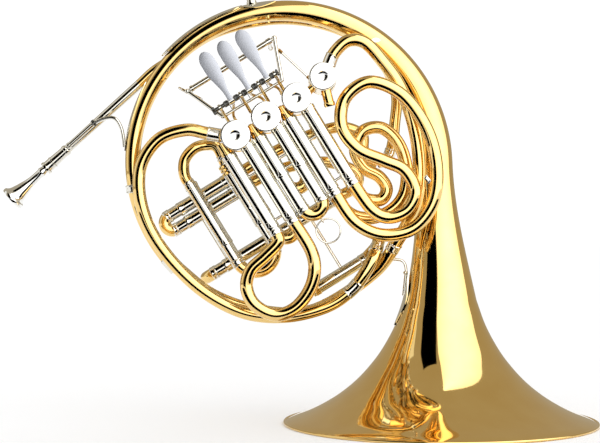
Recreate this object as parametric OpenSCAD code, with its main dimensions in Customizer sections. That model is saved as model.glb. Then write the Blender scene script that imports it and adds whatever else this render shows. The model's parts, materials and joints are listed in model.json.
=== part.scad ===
// Double french horn in F and B flat: rotary valves in one row, separate change valve.
// Frame: the bell stands on its rim. Origin at the centre of the rim's lower face, +Z up the bell's axis,
// -X towards the mouthpiece, -Y towards the player, who looks at the valve caps and finger levers.

/* [Bell and ring] */
// Diameter over the bell's rim
bell_d = 310; // [290:1:320]
// Sheet thickness of the bell and of the tubes
wall = 0.5; // [0.4:0.05:0.8]
// Thickness of the wired bead round the rim
bead_d = 3.4; // [2.6:0.1:4]
// Height of the ring's centre above the rim
ring_z = 257.5; // [255:0.5:262]
// Radius of the ring, to the centre of its tube
ring_r = 149; // [147:1:150]

/* [Tubes] */
// Outside diameter of the inner slide legs and bows
slide_d = 12.6; // [12.4:0.1:12.8]
// Outside diameter of the fixed outer slide tubes
sleeve_d = 13.6; // [13.4:0.1:13.7]
// Outside diameter of the branch between the change valve and the bell tail
branch_d = 13.4; // [13:0.1:13.6]
// Outside diameter of the leadpipe's curved end
leadpipe_d = 11.6; // [11:0.1:12]

/* [Valves] */
// Distance between the three finger valves
valve_pitch = 34; // [34:0.5:35]
// Angle of the valve row above the horizontal
valve_tilt = 31.5; // [31:0.5:32]
// Outside diameter of a valve casing
casing_d = 26; // [25:0.5:26]
// Outside diameter of a rotor
rotor_d = 20.8; // [20:0.2:21]
// Diameter of the screw caps on the finger valves
cap_d = 28.6; // [28:0.2:30]
// Diameter of the screw cap on the change valve
change_cap_d = 26; // [25.6:0.2:27]

/* [Levers] */
// Distance between the finger levers
lever_pitch = 20; // [19.5:0.5:20.5]
// Width of a finger pad
pad_w = 14.6; // [14:0.2:15]
// Diameter of the hinge rods
hinge_d = 4; // [3.6:0.2:4]

/* [Mouthpiece] */
// Diameter over the mouthpiece rim
rim_d = 25; // [24:0.5:27]
// Length of the mouthpiece
mouthpiece_l = 66; // [64:1:68]

/* [Hidden] */
$fn = 48;

// Ring, in the XZ plane
ring_x = -154;
bell_r = bell_d / 2;
tail_end_r = 6.9;              // tail radius where the branch begins
tail_stop = 222;               // angle round the ring where the tail ends
stem_z = 120;                  // height where the flare meets the tail
stem_r = 35.5;                 // outside radius of the bell at that height
ring_right_r = 17;             // tail radius where it passes the ring's right side

// Levels, along Y
f_y = -47;                     // front level, the F side's slides
b_y = -17;                     // rear level, the B flat side's slides
branch_y = -32;                // level of the branch on the ring's right side
main_y = 2;                    // plane of the main tuning slide
rear_y = 22;                   // plane of the rear crooks and the two rear tuning slides
lead_y = 24;                   // plane of the leadpipe

// Valve row: u runs along the row, v down the slides
cu = cos(valve_tilt);
su = sin(valve_tilt);
row_x = -199.5;
row_z = 280.7;
function row(u, v, y = 0) = [row_x + u * cu + v * su, y, row_z + u * su - v * cu];
valve_u = [0, valve_pitch, 2 * valve_pitch, 100];
valve_v = [0, 0, 0, -4.3];
casing_r = casing_d / 2;
casing_front = -56;
casing_back = 0;
rotor_gap = 0.05;
rotor_front = -54;
rotor_back = -3;
shaft_r = 2.4;
plate_t = 2.5;
cap_t = 4.4;

// Slide legs, measured from their own valve
legs = [-16, 4];
slide_r = slide_d / 2;
sleeve_r = sleeve_d / 2;
sleeve_bore = slide_r + 0.06;
f_sleeve_end = [94, 57, 92];
b_sleeve_end = [78, 46, 82];
leg_top = 22;
bead_w = 2.4;                  // width of the bead round a sleeve's mouth
bead_h = 0.15;                 // its height
sleeve_top = 12;
main_legs = [-64, -24];
main_sleeve = [14, 84];
b_flat_tune_v = [29, 44];
f_tune_v = 101;
f_tune_y = [rear_y, rear_y + 20];

// Eyelet of the pull ring, under the bow of F slide 2
ring_u = valve_pitch - 6;
eye_v = 112;

// Levers
hinge_r = hinge_d / 2;
hinge_v = -30;
hinge_y = -58;
hinge_ends = [-6, 65];
lever_u = [for (i = [0:2]) 13.8 + i * lever_pitch];
pad_l = 53;
arm_y = 9;                     // level of the arms and stop arms behind the valves
hub_r = 5.2;
arm_u = [for (i = [0:2]) valve_u[i] + (i < 2 ? 1 : -1) * (hub_r + 2.4)];
thumb_v = -62;
thumb_y = -32;
thumb_ends = [-14, 77];
pin_r = 8.4;                   // radius of the change valve's stop pin
ball_r = 2.4;
crank_u = 74.5;

// ---------- vectors and pipes ----------
function unit(a) = a / norm(a);
function side_of(d) = unit(cross(d, abs(d[1]) < 0.9 ? [0, 1, 0] : [1, 0, 0]));

module place(origin, x, y, z) {
    multmatrix([[x[0], y[0], z[0], origin[0]], [x[1], y[1], z[1], origin[1]],
                [x[2], y[2], z[2], origin[2]], [0, 0, 0, 1]]) children();
}

// Children drawn up Z are laid from a towards b
module from_to(a, b) {
    d = unit(b - a);
    s = side_of(d);
    place(a, s, cross(d, s), d) children();
}

module rod(a, b, r) from_to(a, b) cylinder(h = norm(b - a), r = r);

// Rods from point to point, with a ball at each corner
module bent_rod(p, r) {
    for (i = [1:len(p) - 1]) rod(p[i - 1], p[i], r);
    for (i = [1:len(p) - 2]) translate(p[i]) sphere(r * 1.35);
}

// Smooth curve through the points p, n rings to a span
function spline_at(a, b, c, d, t) =
    0.5 * (2 * b + (c - a) * t + (2 * a - 5 * b + 4 * c - d) * t * t + (3 * b - a - 3 * c + d) * t * t * t);
function spline(p, n) = let (m = len(p) - 1) [
    for (i = [0:m - 1], k = [0:n - 1])
        spline_at(i == 0 ? 2 * p[0] - p[1] : p[i - 1], p[i], p[i + 1],
                  i == m - 1 ? 2 * p[m] - p[m - 1] : p[i + 2], k / n),
    p[m]];

// Side directions carried along a curve without twist
function heading(p, i) = unit(p[min(i + 1, len(p) - 1)] - p[max(i - 1, 0)]);
function sides(p) = [
    for (i = 0, s = side_of(heading(p, 0)); i < len(p);
         i = i + 1,
         s = i < len(p) ? let (h = heading(p, i)) unit(s - h * (s * h)) : s) s];

// Hollow tube along the curve p, outside radius running from r0 to r1; gauge 0 makes it solid
module sweep(p, r0, r1, gauge = wall, n = 12) {
    m = len(p) - 1;
    s = sides(p);
    function loop(i, r) = let (h = heading(p, i), q = cross(h, s[i]))
        [for (k = [0:n - 1]) p[i] + r * (cos(360 * k / n) * s[i] + sin(360 * k / n) * q)];
    outer = [for (i = [0:m]) each loop(i, r0 + (r1 - r0) * i / m)];
    inner = [for (i = [0:m]) each loop(i, r0 + (r1 - r0) * i / m - gauge)];
    o = (m + 1) * n;
    skin = [for (i = [0:m - 1], k = [0:n - 1]) let (j = (k + 1) % n)
        [i * n + k, (i + 1) * n + k, (i + 1) * n + j, i * n + j]];
    if (gauge > 0)
        polyhedron(points = concat(outer, inner), faces = concat(
            skin,
            [for (f = skin) [o + f[3], o + f[2], o + f[1], o + f[0]]],
            [for (k = [0:n - 1]) let (j = (k + 1) % n) [k, j, o + j, o + k]],
            [for (k = [0:n - 1]) let (j = (k + 1) % n, e = m * n) [e + j, e + k, o + e + k, o + e + j]]));
    else
        polyhedron(points = outer, faces = concat(
            skin,
            [[for (k = [0:n - 1]) k]],
            [[for (k = [n - 1:-1:0]) m * n + k]]));
}

// Frame of the valve row: X runs along the row, Y down the slides, Z towards the player
module in_row(y = 0) place(row(0, 0, y), [cu, 0, su], [su, 0, -cu], [0, -1, 0]) children();

// A fixed outer tube of a slide, from v0 to v1 at u in the row's frame, with a bead at its mouth
module sleeve(u, v0, v1) translate([u, v0, 0]) rotate([-90, 0, 0]) difference() {
    union() {
        cylinder(h = v1 - v0, r = sleeve_r);
        translate([0, 0, v1 - v0 - bead_w]) cylinder(h = bead_w, r = sleeve_r + bead_h);
    }
    translate([0, 0, -1]) cylinder(h = v1 - v0 + 2, r = sleeve_bore);
}

// A U-shaped slide in the row's frame: two legs from v0 to v1 joined by a round bow
module u_slide(u0, u1, v0, v1) difference() {
    u_rod(u0, u1, v0, v1, slide_r);
    u_rod(u0, u1, v0 - 1, v1, slide_r - wall);
}

module u_rod(u0, u1, v0, v1, r) {
    translate([u0, v0, 0]) rotate([-90, 0, 0]) cylinder(h = v1 - v0, r = r);
    translate([u1, v0, 0]) rotate([-90, 0, 0]) cylinder(h = v1 - v0, r = r);
    translate([(u0 + u1) / 2, v1, 0]) rotate_extrude(angle = 180) translate([(u1 - u0) / 2, 0]) circle(r);
}

// Cylinder along Y, round a valve's axis
module about_valve(i, y) {
    translate(row(valve_u[i], valve_v[i], y)) rotate([-90, 0, 0]) rotate([0, 0, -valve_tilt]) children();
}

// ---------- bell and ring ----------
// Outside radius of the bell at height z: a flare that opens ever faster towards the rim
flare = [[0, bell_r - 1.5], [3, 147], [9, 131.5], [17, 115.5], [27, 99.5], [40, 83.5], [55, 69.5],
         [72, 57], [95, 44.6], [stem_z, stem_r]];

function flare_normal(i) = let (a = flare[max(i - 1, 0)], b = flare[min(i + 1, len(flare) - 1)])
    unit([b[1] - a[1], a[0] - b[0]]);
module bell_flare() color("goldenrod") rotate_extrude($fn = 96)
    polygon(concat([for (p = flare) [p[1], p[0] + bead_d / 2]],
                   [for (i = [len(flare) - 1:-1:0])
                       [flare[i][1] + wall * flare_normal(i)[1],
                        flare[i][0] + bead_d / 2 + wall * flare_normal(i)[0]]]));

module bell_rim_bead() color("gold") rotate_extrude($fn = 96) difference() {
    translate([bell_r - bead_d / 2, bead_d / 2 - 0.3]) circle(bead_d / 2);
    translate([0, -bead_d]) square([bell_r + 5, bead_d]);
}

// Tail: one tapering tube from the flare over the top of the ring and down its left side
tail_steps = 52;
tail_sides = 20;
stem_steps = 8;
stem_top = stem_z + bead_d / 2;
function smooth(t) = t * t * (3 - 2 * t);
function tail_point(i) =
    i < stem_steps
    ? let (t = i / stem_steps)
      [(ring_x + ring_r) * smooth(t), 0, stem_top + (ring_z - stem_top) * t]
    : let (a = tail_stop * (i - stem_steps) / (tail_steps - stem_steps))
      [ring_x + ring_r * cos(a), 0, ring_z + ring_r * sin(a)];
function tail_heading(i) =
    i < stem_steps
    ? unit([(ring_x + ring_r) * 6 * (i / stem_steps) * (1 - i / stem_steps), 0, ring_z - stem_top])
    : let (a = tail_stop * (i - stem_steps) / (tail_steps - stem_steps)) [-sin(a), 0, cos(a)];
// Outside radius along the tail: fast taper up the stem, then slower round the ring
function tail_r(i) =
    i < stem_steps
    ? let (t = i / stem_steps) stem_r + (ring_right_r - stem_r) * (1.75 * t - 0.75 * t * t)
    : let (t = (i - stem_steps) / (tail_steps - stem_steps))
      tail_end_r + (ring_right_r - tail_end_r) * pow(1 - t, 2.6) + 2.1 * t * (1 - t);
function tail_ring(i, r) = let (h = tail_heading(i), s = [h[2], 0, -h[0]])
    [for (k = [0:tail_sides - 1])
        tail_point(i) + r * (cos(360 * k / tail_sides) * s + sin(360 * k / tail_sides) * [0, 1, 0])];

module bell_tail() color("goldenrod") {
    n = tail_sides;
    m = tail_steps;
    outer = [for (i = [0:m]) each tail_ring(i, tail_r(i))];
    inner = [for (i = [0:m]) each tail_ring(i, tail_r(i) - wall)];
    o = (m + 1) * n;
    polyhedron(
        points = concat(outer, inner),
        faces = concat(
            [for (i = [0:m - 1], k = [0:n - 1]) let (j = (k + 1) % n)
                [i * n + k, i * n + j, (i + 1) * n + j, (i + 1) * n + k]],
            [for (i = [0:m - 1], k = [0:n - 1]) let (j = (k + 1) % n)
                [o + (i + 1) * n + k, o + (i + 1) * n + j, o + i * n + j, o + i * n + k]],
            [for (k = [0:n - 1]) let (j = (k + 1) % n) [k, o + k, o + j, j]],
            [for (k = [0:n - 1]) let (j = (k + 1) % n)
                [m * n + k, m * n + j, o + m * n + j, o + m * n + k]]));
}

// A sleeve round the ring's tube, over part of the circle
module ring_sleeve(a, sweep, inner, outer) translate([ring_x, 0, ring_z]) rotate([90, 0, 0])
    rotate([0, 0, a]) rotate_extrude(angle = sweep) translate([ring_r, 0]) difference() {
        circle(outer);
        circle(inner);
    }

module tail_ferrules() color("gainsboro") {
    ring_sleeve(189, 2.4, 8.4, 9);
    ring_sleeve(tail_stop - 3, 6, 7.1, 7.8);
}

// Long guard along the outside of the tail, where it rests on the player's leg
module top_guard() color("silver") translate([ring_x, 0, ring_z]) rotate([90, 0, 0])
    rotate([0, 0, 105]) rotate_extrude(angle = 34) translate([ring_r, 0]) intersection() {
        difference() {
            circle(11);
            circle(9.7);
        }
        translate([4.5, -12]) square([10, 24]);
    }

// Socket for a marching lyre, on a saddle over the top of the ring
lyre_angle = 101.5;
lyre_bore = 2.6;
lyre_l = 11;
module lyre_holder() color("silver") translate([ring_x, 0, ring_z]) rotate([0, 90 - lyre_angle, 0]) {
    translate([0, 0, ring_r + 10]) difference() {
        cylinder(h = lyre_l, r = 5);
        translate([0, 0, 2]) cylinder(h = lyre_l, r = lyre_bore);
    }
    translate([-9, -4, ring_r + 8.8]) cube([18, 8, 1.4]);
}

// Brace between the ring's lower right side and the bell's throat, with its long foot
module bell_brace() color("silver") {
    sweep(spline([[-52, -2, 161], [-44, -2, 161.5], [-37, -2, 159.5], [-34, -2, 152],
                  [-35, -2, 139], [-36.4, -2, 126]], 3), 1.3, 1.3, 0, 8);
    rotate([0, 0, 160]) rotate_extrude(angle = 40) intersection() {
        polygon([[44.8, 97], [45.6, 97], [36.5, 121.7], [31.9, 150], [31.1, 150], [35.7, 121.7]]);
        translate([0, 98]) square([60, 50]);
    }
}

// ---------- branches ----------
branch_r = branch_d / 2;
function ring_at(a, r, y = 0) = [ring_x + r * cos(a), y, ring_z + r * sin(a)];

// From the change valve over the bell tail, down the right side and along the bottom to the tail
module first_branch() color("gold") sweep(spline([
    [-111.6, branch_y, 346.9], [-105, branch_y, 361.5], [-92, branch_y, 373], [-76, branch_y, 371.5],
    [-60, branch_y, 355], [-42, branch_y, 329], [-28, branch_y, 290], [-23, branch_y, 248],
    [-28, -32, 212], [-42, -16, 182], [-66, -1, 148], ring_at(282, ring_r), ring_at(262, ring_r),
    ring_at(242, ring_r), ring_at(tail_stop, ring_r)], 3), branch_r - 0.5, branch_r);

// From valve 1 round the ring's left side and bottom, then back to the lower right
module feed_branch() color("gold") sweep(spline([
    [-210.9, b_y, 281.7], [-229, b_y, 284.8], [-250, b_y, 288], [-277, b_y, 278], [-294, b_y, 250],
    [-292, b_y, 212], [-274, b_y, 174], [-238, b_y, 135], [-196, b_y, 111], [-154, b_y, 106],
    [-114, b_y, 115], [-89, b_y, 131], [-74, b_y, 150], [-65, b_y + 4, 168], [-60, b_y + 18, 182],
    [-58, 15, 184], row(62, 163, rear_y), row(46, 168, rear_y)], 3), slide_r, slide_r);

// ---------- leadpipe and mouthpiece ----------
mouth = [-427, lead_y, 220.5];
lead_end = [-299, lead_y, 336];
lead_dir = unit(lead_end - mouth);
shank_in = 20;
function along_lead(t, y = lead_y) = [mouth[0], y, mouth[2]] + t * lead_dir;
receiver_at = mouthpiece_l - shank_in;
receiver_l = 30;

module leadpipe() color("silver") from_to(along_lead(receiver_at + receiver_l - 2), lead_end)
    difference() {
        cylinder(h = norm(lead_end - along_lead(receiver_at + receiver_l - 2)), r1 = 4.2, r2 = 4.9);
        translate([0, 0, -1])
            cylinder(h = norm(lead_end - along_lead(receiver_at + receiver_l - 2)) + 2, r1 = 3.7, r2 = 4.4);
    }

module leadpipe_crook() color("gold") sweep(spline([
    lead_end, lead_end + 22 * lead_dir, [-258, lead_y, 366], [-226, lead_y, 386], [-190, lead_y, 397],
    [-152, lead_y, 401], [-112, lead_y, 395], [-78, lead_y, 380], [-54, lead_y, 356],
    [-42, lead_y, 326], [-43.5, lead_y, 296], [-46, lead_y, 275], [-51, lead_y - 1, 262],
    [-61, rear_y, 257]], 3), 4.9, leadpipe_d / 2);

module mouthpiece_receiver() color("silver") from_to(along_lead(receiver_at), lead_end) difference() {
    union() {
        cylinder(h = receiver_l, r1 = 6, r2 = 4.9);
        cylinder(h = 3, r = 6.8);
        translate([0, 0, receiver_l - 4]) cylinder(h = 3, r = 5.6);
    }
    translate([0, 0, -1]) cylinder(h = shank_in + 1.6, r1 = 3.9, r2 = 3.46);
    translate([0, 0, shank_in - 1]) cylinder(h = receiver_l, r = 3.1);
}

// Rim, cup and tapered shank, bored through
module mouthpiece() color("silver") from_to(along_lead(0), lead_end) rotate_extrude() polygon([
    [9, 0.6], [10.2, 0], [rim_d / 2 - 1.2, 0], [rim_d / 2, 1.4], [rim_d / 2, 3.4], [11, 5.4],
    [8.6, 12], [6.4, 21], [4.6, 29], [4.3, 40], [4.9, 42], [4.4, 44], [3.85, mouthpiece_l - shank_in],
    [3.4, mouthpiece_l], [2.7, mouthpiece_l], [2.2, 30], [2.4, 27], [6.4, 12], [8.4, 2]]);

// Brace from the leadpipe to the ring: a sleeve beside the pipe, a strut and a foot on the tail
module leadpipe_brace() color("silver") {
    rod(along_lead(78, lead_y - 12), along_lead(116, lead_y - 12), 3.2);
    rod(along_lead(84, lead_y - 12), along_lead(84, lead_y - 4), 1.8);
    rod(along_lead(108, lead_y - 12), ring_at(163, ring_r + 8.1, 3), 2);
    translate([ring_x, 0, ring_z]) rotate([90, 0, 0]) rotate([0, 0, 150]) rotate_extrude(angle = 26)
        translate([ring_r, 0]) intersection() {
            difference() {
                circle(8.6);
                circle(7.8);
            }
            translate([5, -12]) square([10, 24]);
        }
}

// ---------- valves ----------
module casing(i) color("goldenrod") about_valve(i, casing_front) difference() {
    cylinder(h = casing_back - casing_front, r = casing_r);
    translate([0, 0, -1])
        cylinder(h = casing_back - casing_front + 2, r = rotor_d / 2 + rotor_gap);
}
module valve_casing_1() casing(0);
module valve_casing_2() casing(1);
module valve_casing_3() casing(2);
module change_valve_casing() casing(3);

// Screw cap with a dimple in the middle of its face
module cap(i, d) color("whitesmoke") about_valve(i, casing_front - cap_t) difference() {
    union() {
        cylinder(h = cap_t - 0.8, r = d / 2);
        translate([0, 0, cap_t - 0.8]) cylinder(h = 0.8, r = d / 2 - 1);
    }
    translate([0, 0, -1]) cylinder(h = 2.6, r = 5);
}
module valve_cap_1() cap(0, cap_d);
module valve_cap_2() cap(1, cap_d);
module valve_cap_3() cap(2, cap_d);
module change_valve_cap() cap(3, change_cap_d);

// Short closed stubs at the tops of the slide legs, and the bridge tubes between the valves
module valve_knuckles() color("gold") {
    for (i = [0:2], u = legs, y = [f_y, b_y]) in_row(y) translate([valve_u[i] + u, 0, 0])
        rotate([-90, 0, 0]) difference() {
            translate([0, 0, u < 0 ? -3 : 10.7]) cylinder(h = sleeve_top + 3 - (u < 0 ? -3 : 10.7), r = 5.2);
            translate([0, 0, u < 0 ? -1 : 11.5]) cylinder(h = 20, r = 4.6);
        }
    for (i = [1:2])
        rod(row(valve_u[i - 1] + 11.7, 0, b_y), row(valve_u[i] - 11.7, 0, b_y), 4);
    rod(row(valve_u[2] + 11.7, -1.5, b_y), row(valve_u[3] - 11.7, -2.8, b_y), 4);
    rod([-113.8, f_y, 325.4], [-109.5, f_y, 308.7], 4.8);
}

// Plates that carry the rotor shafts behind the casings
module bearing_plates() color("goldenrod") for (i = [0:3]) about_valve(i, casing_back) difference() {
    cylinder(h = plate_t, r = casing_r);
    translate([0, 0, -1]) cylinder(h = plate_t + 2, r = shaft_r + rotor_gap);
}

// Pairs of cork bumpers that stop each arm at the ends of its swing
bump_r = 10.6;
bumper_turn = [180, 180, 0, 0];
module cork_bumpers() color("peru") for (i = [0:3], s = [-1, 1])
    about_valve(i, casing_back + plate_t) rotate([0, 0, bumper_turn[i] + s * (45 + 21)])
        translate([bump_r, 0, 0]) cylinder(h = 7, r = 2);

// Rotor with two passages on each level and a shaft through the bearing plate
module rotor(i) color("tan") about_valve(i, rotor_front) difference() {
    union() {
        cylinder(h = rotor_back - rotor_front, r = rotor_d / 2);
        translate([0, 0, rotor_back - rotor_front - 0.5]) cylinder(h = 15, r = shaft_r);
    }
    for (y = [f_y, b_y], s = [-1, 1])
        translate([s * 7.6, -15, y - rotor_front]) rotate([-90, 0, 0]) cylinder(h = 30, r = 5);
}
module rotor_1() rotor(0);
module rotor_2() rotor(1);
module rotor_3() rotor(2);
module change_rotor() rotor(3);

// Stop arm: a hub on the rotor's shaft with a finger that swings between the corks
spin = [1, 1, -1, -1];
module stop_arm(i) color("olive") about_valve(i, arm_y - 2) {
    difference() {
        cylinder(h = 4, r = i == 3 ? 4.5 : hub_r);
        translate([0, 0, -1]) cylinder(h = 6, r = shaft_r);
    }
    rotate([0, 0, bumper_turn[i] - 45 * spin[i]]) translate([3.6, -1.5, -0.6]) cube([7, 3, 3]);
    if (i == 3) rotate([0, 0, 225]) {
        translate([3.6, -1.5, -0.4]) cube([4.8, 3, 2.8]);
        translate([pin_r, 0, -0.6]) cylinder(h = 6.9, r = 1.8);
    }
}
module stop_arm_1() stop_arm(0);
module stop_arm_2() stop_arm(1);
module stop_arm_3() stop_arm(2);
module change_stop_arm() stop_arm(3);

// ---------- levers ----------
module row_rod(a, b, r) rod(row(a[0], a[1], a[2]), row(b[0], b[1], b[2]), r);
knuckle_r = 3.4;
run_gap = 0.06;

module lever_hinge_rod() color("dimgray") {
    row_rod([hinge_ends[0], hinge_v, hinge_y], [hinge_ends[1], hinge_v, hinge_y], hinge_r);
    row_rod([hinge_ends[0] - 1, hinge_v, hinge_y], [hinge_ends[0] + 2.4, hinge_v, hinge_y], 3.9);
    row_rod([hinge_ends[1] - 1, hinge_v, hinge_y], [hinge_ends[1] + 1, hinge_v, hinge_y], 3.4);
}

// Posts and back rail that carry the hinge rod on the casings
module lever_bridge() color("silver") {
    for (u = [1.2, 24, 44, 62])
        row_rod([u, hinge_v + 1.8, hinge_y + 1.8], [u, -12.2, hinge_y + 18], 1.6);
    in_row(hinge_y + 9) translate([-2, hinge_v + 7, -1.4]) cube([68, 2.6, 2.8]);
}

module lever_springs() color("gray") for (i = [0:2], s = [-1, 1])
    in_row(hinge_y) translate([lever_u[i] + s * 5.6 - 2.4, hinge_v, 0]) rotate([0, 90, 0])
        difference() {
            cylinder(h = 4.8, r = 3.1);
            translate([0, 0, -1]) cylinder(h = 7, r = 2.3);
        }

// Half width of a finger pad along its length: a narrow neck, then a broad pad with a round end
pad_steps = 22;
function pad_half(t) =
    let (neck = 2.3 + (pad_w / 2 - 2.3) * smooth(min(1, max(0, (t - 0.12) / 0.55))),
         tip = t < 0.8 ? 1 : sqrt(max(0, 1 - pow((t - 0.8) / 0.2, 2))))
        max(0.4, neck * tip);

// Finger lever: pad, tapering neck, hinge barrel and the arm that reaches behind the valves
module finger_lever(i) color("gainsboro") {
    in_row(hinge_y) {
        translate([lever_u[i] - 2.8, hinge_v, 0]) rotate([0, 90, 0]) difference() {
            cylinder(h = 5.6, r = knuckle_r);
            translate([0, 0, -1]) cylinder(h = 8, r = hinge_r + run_gap);
        }
        translate([lever_u[i], hinge_v, 2.6]) linear_extrude(1.6)
            polygon([for (side = [1, -1], k = [0:pad_steps])
                let (t = side > 0 ? k / pad_steps : 1 - k / pad_steps)
                [side * pad_half(t), -pad_l * t]]);
    }
    arm = [[lever_u[i], hinge_v, hinge_y + 2.9], [lever_u[i], hinge_v, arm_y - 9],
           [arm_u[i], hinge_v + 8, arm_y], [arm_u[i], 6, arm_y]];
    bent_rod([for (p = arm) row(p[0], p[1], p[2])], 1.4);
    for (v = [-16, 4]) row_rod([arm_u[i], v, arm_y - 1.5], [arm_u[i], v, arm_y + 2.4], 1.8);
}
module finger_lever_1() finger_lever(0);
module finger_lever_2() finger_lever(1);
module finger_lever_3() finger_lever(2);

module thumb_hinge_rod() color("dimgray") {
    row_rod([thumb_ends[0] - 5, thumb_v, thumb_y], [thumb_ends[1] + 5, thumb_v, thumb_y], 1.6);
    row_rod([thumb_ends[0] - 3.6, thumb_v, thumb_y], [-1, hinge_v + 8.3, hinge_y + 9], 1.8);
    row_rod([thumb_ends[1] + 3.6, thumb_v, thumb_y], [65, hinge_v + 8.3, hinge_y + 9], 1.8);
}

// Thumb lever: barrel on its own rod, plate at the left end and crank with a ball at the right end
module thumb_lever() color("darkkhaki") {
    in_row(thumb_y) translate([thumb_ends[0], thumb_v, 0]) rotate([0, 90, 0]) difference() {
        cylinder(h = thumb_ends[1] - thumb_ends[0], r = 2.6);
        translate([0, 0, -1]) cylinder(h = thumb_ends[1] - thumb_ends[0] + 2, r = 1.6 + run_gap);
    }
    row_rod([-10, thumb_v, thumb_y + 2.1], [-17, thumb_v - 0.5, 1], 1.6);
    in_row(6) translate([-24, thumb_v - 12, 0]) rotate([0, 0, 58]) translate([0, -1, -12]) cube([27, 2, 24]);
    row_rod([crank_u, thumb_v, thumb_y + 2.1], [crank_u, thumb_v + 2, 13], 1.6);
    translate(row(crank_u, thumb_v + 2, 14)) sphere(ball_r);
}

// Straight link between the thumb crank and the change valve's stop pin
module change_link() color("silver") row_rod([crank_u + 4.6, thumb_v + 2, 15.6], [93.4, -9, 15.6], 1.2);

// ---------- slides ----------
module f_slide_sleeves() color("silver") in_row(f_y) for (i = [0:2], u = legs)
    sleeve(valve_u[i] + u, sleeve_top, f_sleeve_end[i]);

module b_flat_slide_sleeves() color("silver") in_row(b_y) for (i = [0:2], u = legs)
    sleeve(valve_u[i] + u, sleeve_top, b_sleeve_end[i]);

// Outer tubes of the main tuning slide and of the two rear tuning slides
module tuning_slide_sleeves() color("silver") {
    in_row(main_y) for (u = main_legs) sleeve(u, main_sleeve[0], main_sleeve[1]);
    in_row(rear_y) for (v = b_flat_tune_v) rotate([0, 0, 90]) sleeve(v, 32, 88);
    for (y = f_tune_y) in_row(y) rotate([0, 0, 90]) sleeve(f_tune_v, -50, 78);
}

module f_slide_1() color("gold") sweep(spline([
    row(-16, leg_top, f_y), row(-16, 60, f_y), row(-16, 93, f_y), row(-16, 99, f_y), row(-19, 108, f_y),
    row(-37, 113, f_y), row(-55, 117, f_y), row(-67, 129, f_y), row(-69, 147, f_y), row(-58, 165, f_y),
    row(-39, 170, f_y), row(-18, 163, f_y), row(-3, 149, f_y), row(4, 130, f_y), row(4, 99, f_y),
    row(4, 93, f_y), row(4, 60, f_y), row(4, leg_top, f_y)], 3), slide_r, slide_r);

module f_slide_2() color("gold") in_row(f_y) {
    u_slide(valve_u[1] + legs[0], valve_u[1] + legs[1], leg_top, 94);
    translate([ring_u - 0.7, eye_v, 0]) rotate([0, 90, 0]) difference() {
        cylinder(h = 1.4, r = 2.8);
        translate([0, 0, -1]) cylinder(h = 4, r = 1.4);
    }
}

module f_slide_3() color("gold") sweep(spline([
    row(52, leg_top, f_y), row(52, 60, f_y), row(52, 91, f_y), row(52, 98, f_y), row(54, 130, f_y),
    row(70, 154, f_y), row(98, 164, f_y), row(127, 153, f_y), row(148, 126, f_y), row(159, 90, f_y),
    row(156, 50, f_y), row(136, 23, f_y), row(108, 24, f_y), row(91, 45, f_y), row(93, 72, f_y),
    row(108, 94, f_y), row(120, 112, f_y), row(119, 134, f_y), row(103, 146, f_y), row(84, 143, f_y),
    row(74, 128, f_y), row(72, 98, f_y), row(72, 91, f_y), row(72, 60, f_y), row(72, leg_top, f_y)], 3),
    slide_r, slide_r);

module b_flat_slide_1() color("gold") in_row(b_y) u_slide(legs[0], legs[1], leg_top, 100);

module b_flat_slide_2() color("gold") in_row(b_y)
    u_slide(valve_u[1] + legs[0], valve_u[1] + legs[1], leg_top, 64);

module b_flat_slide_3() color("gold") sweep(spline([
    row(52, leg_top, b_y), row(52, 50, b_y), row(52, 81, b_y), row(52, 88, b_y), row(54, 118, b_y),
    row(68, 134, b_y), row(90, 139, b_y), row(110, 132, b_y), row(125, 112, b_y), row(131, 87, b_y),
    row(125, 66, b_y), row(108, 59, b_y), row(92, 70, b_y), row(90, 90, b_y), row(98, 105, b_y),
    row(98, 119, b_y), row(88, 125, b_y), row(76, 117, b_y), row(72, 104, b_y), row(72, 88, b_y),
    row(72, 81, b_y), row(72, 50, b_y), row(72, leg_top, b_y)], 3), slide_r, slide_r);

module main_tuning_slide() color("gold") in_row(main_y)
    u_slide(main_legs[0], main_legs[1], main_sleeve[0] + 12, 104);

module b_flat_tuning_slide() color("gold") in_row(rear_y) rotate([0, 0, 90])
    u_slide(b_flat_tune_v[0], b_flat_tune_v[1], 40, 100);

module f_tuning_slide() color("gold")
    place(row(0, f_tune_v, rear_y), [0, 1, 0], [-cu, 0, -su], [su, 0, -cu])
        u_slide(0, f_tune_y[1] - f_tune_y[0], -30, 90);

// Ring for pulling the third slide, hung from the loop's lower tube
ring_r_mid = 11.6;
module pull_ring() color("silver") in_row(f_y) translate([ring_u, eye_v + ring_r_mid, 0])
    rotate_extrude() translate([ring_r_mid, 0]) circle(0.8, $fn = 16);

// ---------- fixed crooks and braces ----------
// Crooks behind the valves that join the main tuning slide, the rear tuning slides and the feed
module rear_crook() color("gold") {
    sweep(spline([row(-64, 18, main_y), row(-64, 4, main_y), row(-56, -9, main_y), row(-42, -14, main_y),
                  row(-30, -11, 4), row(-22, -3, 2), row(-24, 16, main_y)], 4), 5.6, 5.6);
    sweep(spline([row(-26, 29, rear_y), row(-8, 29, rear_y), row(20, 29, rear_y), row(60, 33, rear_y),
                  row(92, 42, rear_y), [-77, rear_y, 286], [-75, rear_y, 272], [-71, rear_y, 261],
                  [-61, rear_y, 257]], 4), 5.8, 5.8);
    sweep(spline([row(-30, 44, rear_y), row(-6, 44, rear_y), row(30, 50, rear_y), row(64, 66, rear_y),
                  row(82, 88, rear_y), row(76, 101, rear_y), row(54, f_tune_v, rear_y)], 4), 5.8, 5.8);
    rod(row(47, 168, rear_y), row(-16, 168, rear_y), slide_r);
}

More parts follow.
